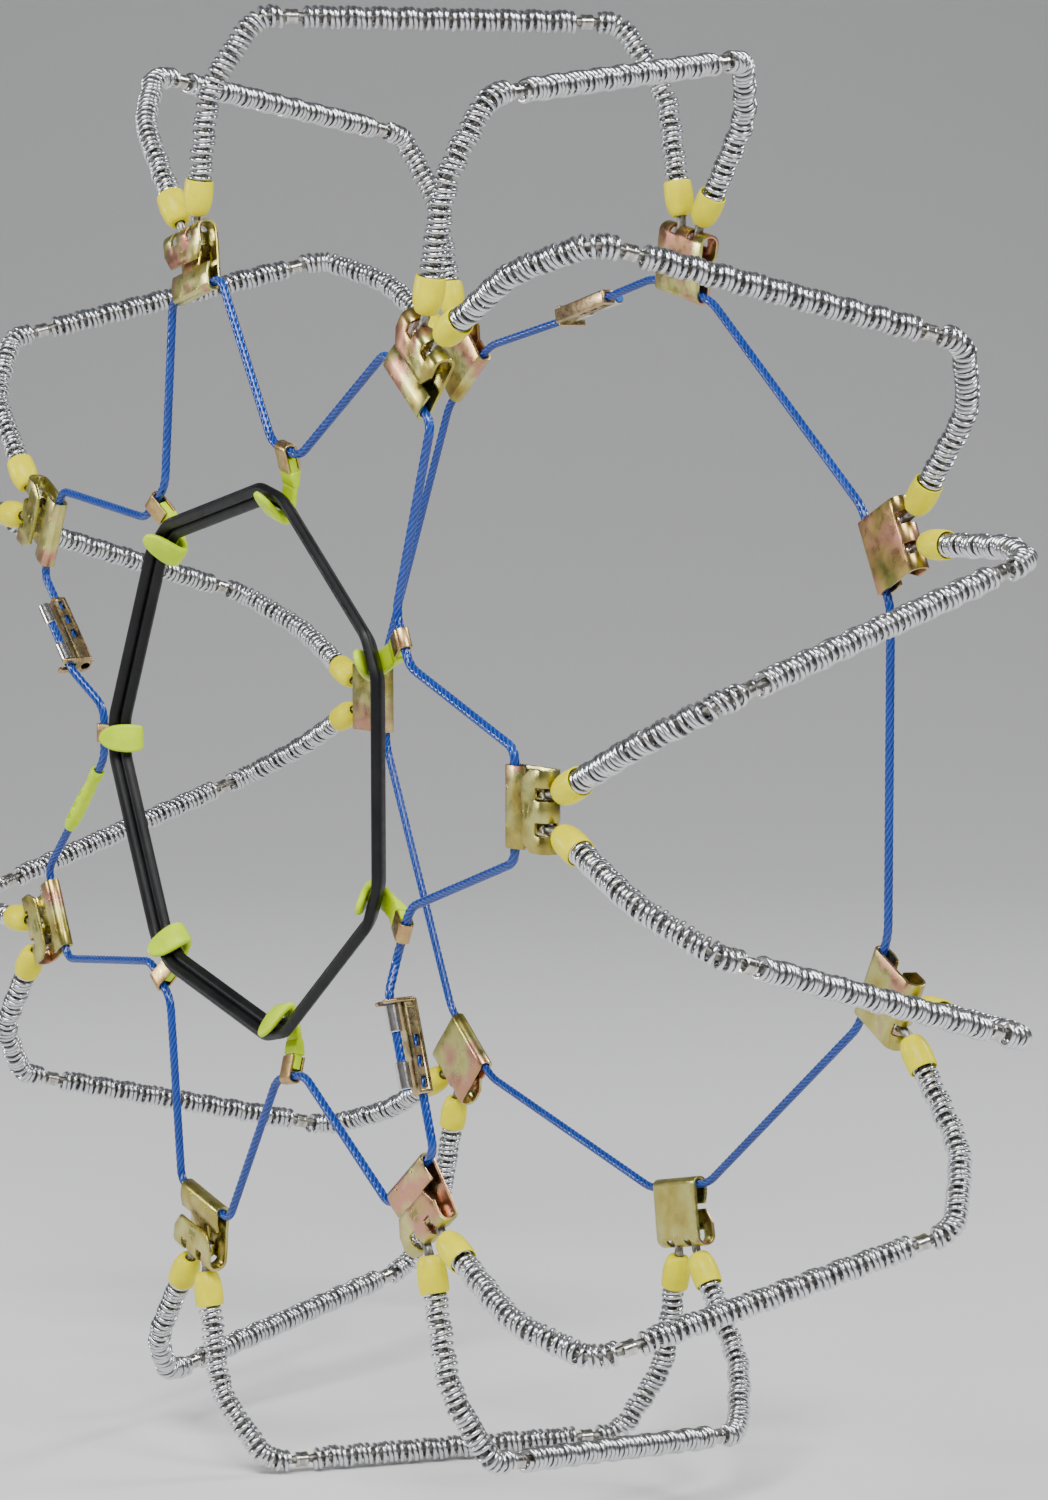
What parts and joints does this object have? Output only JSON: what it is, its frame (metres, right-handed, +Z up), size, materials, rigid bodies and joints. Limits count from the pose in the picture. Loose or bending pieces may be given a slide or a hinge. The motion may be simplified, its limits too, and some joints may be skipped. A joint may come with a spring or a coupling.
{
  "type": "tire snow chains",
  "caption": "Cable-type tire snow chain for one truck wheel: wound-wire rollers across the tread, folded clips, side cables and a rubber tensioner ring on hooks.",
  "frame": {"origin": "centre of the wheel that the chain is fitted on, in the tyre's middle plane", "axes": "Y is the wheel's axle, -Y the outer (kerb) side with the hooks and rubber ring, +Y the inner side; +Z up"},
  "size_m": [1.0402, 0.354, 1.0502],
  "materials": {
    "clip_steel": "yellow zinc-plated pressed steel",
    "strap_steel": "yellow zinc-plated folded strip",
    "plate_steel": "dark yellow zinc-plated strip",
    "coil_steel": "bright zinc-coated wound wire",
    "bare_rope": "bare galvanised wire rope",
    "coated_rope": "blue PVC-coated wire rope",
    "ferrule_steel": "bright pressed sleeve",
    "cap_plastic": "yellow moulded plastic",
    "hook_plastic": "yellow-green moulded nylon",
    "ring_rubber": "black EPDM rubber"
  },
  "bodies": {
    "chain": {"outer_clip_1": "clip_steel", "outer_clip_2": "clip_steel", "outer_clip_3": "clip_steel", "outer_clip_4": "clip_steel", "outer_clip_5": "clip_steel", "outer_clip_6": "clip_steel", "outer_clip_7": "clip_steel", "inner_clip_1": "clip_steel", "inner_clip_2": "clip_steel", "inner_clip_3": "clip_steel", "inner_clip_4": "clip_steel", "inner_clip_5": "clip_steel", "inner_clip_6": "clip_steel", "inner_clip_7": "clip_steel", "tensioner_ring": "ring_rubber", "cross_cables": "bare_rope", "cable_end_sleeves": "ferrule_steel", "coil_stops": "ferrule_steel", "outer_end_caps": "cap_plastic", "inner_end_caps": "cap_plastic", "outer_side_coils": "coil_steel", "inner_side_coils": "coil_steel", "outer_side_cable_1": "coated_rope", "outer_side_cable_2": "coated_rope", "connector_plate_1": "plate_steel", "connector_ferrules_1": "ferrule_steel", "connector_plate_2": "plate_steel", "connector_ferrules_2": "ferrule_steel", "inner_side_cable": "coated_rope", "inner_connector_plate": "plate_steel", "inner_connector_ferrules": "ferrule_steel"},
    "ring_hook_1": {"ring_hook_1": "hook_plastic", "hook_strap_1": "strap_steel"},
    "ring_hook_2": {"ring_hook_2": "hook_plastic", "hook_strap_2": "strap_steel"},
    "ring_hook_3": {"ring_hook_3": "hook_plastic", "hook_strap_3": "strap_steel"},
    "ring_hook_4": {"ring_hook_4": "hook_plastic", "hook_strap_4": "strap_steel"},
    "ring_hook_5": {"ring_hook_5": "hook_plastic", "hook_strap_5": "strap_steel"},
    "ring_hook_6": {"ring_hook_6": "hook_plastic", "hook_strap_6": "strap_steel"},
    "ring_hook_7": {"ring_hook_7": "hook_plastic", "hook_strap_7": "strap_steel"},
    "tread_coil_01": {"tread_coil_01": "coil_steel"},
    "tread_coil_02": {"tread_coil_02": "coil_steel"},
    "tread_coil_03": {"tread_coil_03": "coil_steel"},
    "tread_coil_04": {"tread_coil_04": "coil_steel"},
    "tread_coil_05": {"tread_coil_05": "coil_steel"},
    "tread_coil_06": {"tread_coil_06": "coil_steel"},
    "tread_coil_07": {"tread_coil_07": "coil_steel"},
    "tread_coil_08": {"tread_coil_08": "coil_steel"},
    "tread_coil_09": {"tread_coil_09": "coil_steel"},
    "tread_coil_10": {"tread_coil_10": "coil_steel"},
    "tread_coil_11": {"tread_coil_11": "coil_steel"},
    "tread_coil_12": {"tread_coil_12": "coil_steel"},
    "tread_coil_13": {"tread_coil_13": "coil_steel"},
    "tread_coil_14": {"tread_coil_14": "coil_steel"},
    "cable_grip": {"cable_grip": "hook_plastic"}
  },
  "joints": [
    {"name": "ring_hook_1_swing", "type": "hinge", "parent": "chain", "child": "ring_hook_1", "pos_m": [0.04908, -0.157, 0.21753], "axis": [0.9755, 0, -0.2201], "range_deg": [-2, 2]},
    {"name": "ring_hook_2_swing", "type": "hinge", "parent": "chain", "child": "ring_hook_2", "pos_m": [0.20067, -0.157, 0.09726], "axis": [0.4361, 0, -0.8999], "range_deg": [-2, 2]},
    {"name": "ring_hook_3_swing", "type": "hinge", "parent": "chain", "child": "ring_hook_3", "pos_m": [0.20116, -0.157, -0.09625], "axis": [-0.4316, 0, -0.902], "range_deg": [-2, 2]},
    {"name": "ring_hook_4_swing", "type": "hinge", "parent": "chain", "child": "ring_hook_4", "pos_m": [0.05016, -0.157, -0.21728], "axis": [-0.9744, 0, -0.225], "range_deg": [-2, 2]},
    {"name": "ring_hook_5_swing", "type": "hinge", "parent": "chain", "child": "ring_hook_5", "pos_m": [-0.1386, -0.157, -0.17469], "axis": [-0.7834, 0, 0.6215], "range_deg": [-2, 2]},
    {"name": "ring_hook_6_swing", "type": "hinge", "parent": "chain", "child": "ring_hook_6", "pos_m": [-0.223, -0.157, -0.00056], "axis": [-0.0025, 0, 1], "range_deg": [-2, 2]},
    {"name": "ring_hook_7_swing", "type": "hinge", "parent": "chain", "child": "ring_hook_7", "pos_m": [-0.13947, -0.157, 0.174], "axis": [0.7803, 0, 0.6254], "range_deg": [-2, 2]},
    {"name": "tread_coil_01_spin", "type": "hinge", "parent": "chain", "child": "tread_coil_01", "pos_m": [-0.22526, 0, 0.46479], "axis": [-0.2664, 0.9552, -0.1291], "continuous": true},
    {"name": "tread_coil_02_spin", "type": "hinge", "parent": "chain", "child": "tread_coil_02", "pos_m": [-0.00129, 0, 0.5165], "axis": [0.296, 0.9552, 0.0007], "continuous": true},
    {"name": "tread_coil_03_spin", "type": "hinge", "parent": "chain", "child": "tread_coil_03", "pos_m": [0.22294, 0, 0.46591], "axis": [-0.267, 0.9552, 0.1278], "continuous": true},
    {"name": "tread_coil_04_spin", "type": "hinge", "parent": "chain", "child": "tread_coil_04", "pos_m": [0.40301, 0, 0.32304], "axis": [0.1851, 0.9552, -0.231], "continuous": true},
    {"name": "tread_coil_05_spin", "type": "hinge", "parent": "chain", "child": "tread_coil_05", "pos_m": [0.50326, 0, 0.11619], "axis": [-0.0666, 0.9552, 0.2884], "continuous": true},
    {"name": "tread_coil_06_spin", "type": "hinge", "parent": "chain", "child": "tread_coil_06", "pos_m": [0.50384, 0, -0.11368], "axis": [-0.0651, 0.9552, -0.2887], "continuous": true},
    {"name": "tread_coil_07_spin", "type": "hinge", "parent": "chain", "child": "tread_coil_07", "pos_m": [0.40462, 0, -0.32103], "axis": [0.184, 0.9552, 0.2319], "continuous": true},
    {"name": "tread_coil_08_spin", "type": "hinge", "parent": "chain", "child": "tread_coil_08", "pos_m": [0.22526, 0, -0.46479], "axis": [-0.2664, 0.9552, -0.1291], "continuous": true},
    {"name": "tread_coil_09_spin", "type": "hinge", "parent": "chain", "child": "tread_coil_09", "pos_m": [0.00129, 0, -0.5165], "axis": [0.296, 0.9552, 0.0007], "continuous": true},
    {"name": "tread_coil_10_spin", "type": "hinge", "parent": "chain", "child": "tread_coil_10", "pos_m": [-0.22294, 0, -0.46591], "axis": [-0.267, 0.9552, 0.1278], "continuous": true},
    {"name": "tread_coil_11_spin", "type": "hinge", "parent": "chain", "child": "tread_coil_11", "pos_m": [-0.40301, 0, -0.32304], "axis": [0.1851, 0.9552, -0.231], "continuous": true},
    {"name": "tread_coil_12_spin", "type": "hinge", "parent": "chain", "child": "tread_coil_12", "pos_m": [-0.50326, 0, -0.11619], "axis": [-0.0666, 0.9552, 0.2884], "continuous": true},
    {"name": "tread_coil_13_spin", "type": "hinge", "parent": "chain", "child": "tread_coil_13", "pos_m": [-0.50384, 0, 0.11368], "axis": [-0.0651, 0.9552, -0.2887], "continuous": true},
    {"name": "tread_coil_14_spin", "type": "hinge", "parent": "chain", "child": "tread_coil_14", "pos_m": [-0.40462, 0, 0.32103], "axis": [0.184, 0.9552, 0.2319], "continuous": true},
    {"name": "cable_grip_turn", "type": "hinge", "parent": "chain", "child": "cable_grip", "pos_m": [-0.2569, -0.157, -0.05349], "axis": [-0.7073, 0, -0.7069], "continuous": true}
  ]
}
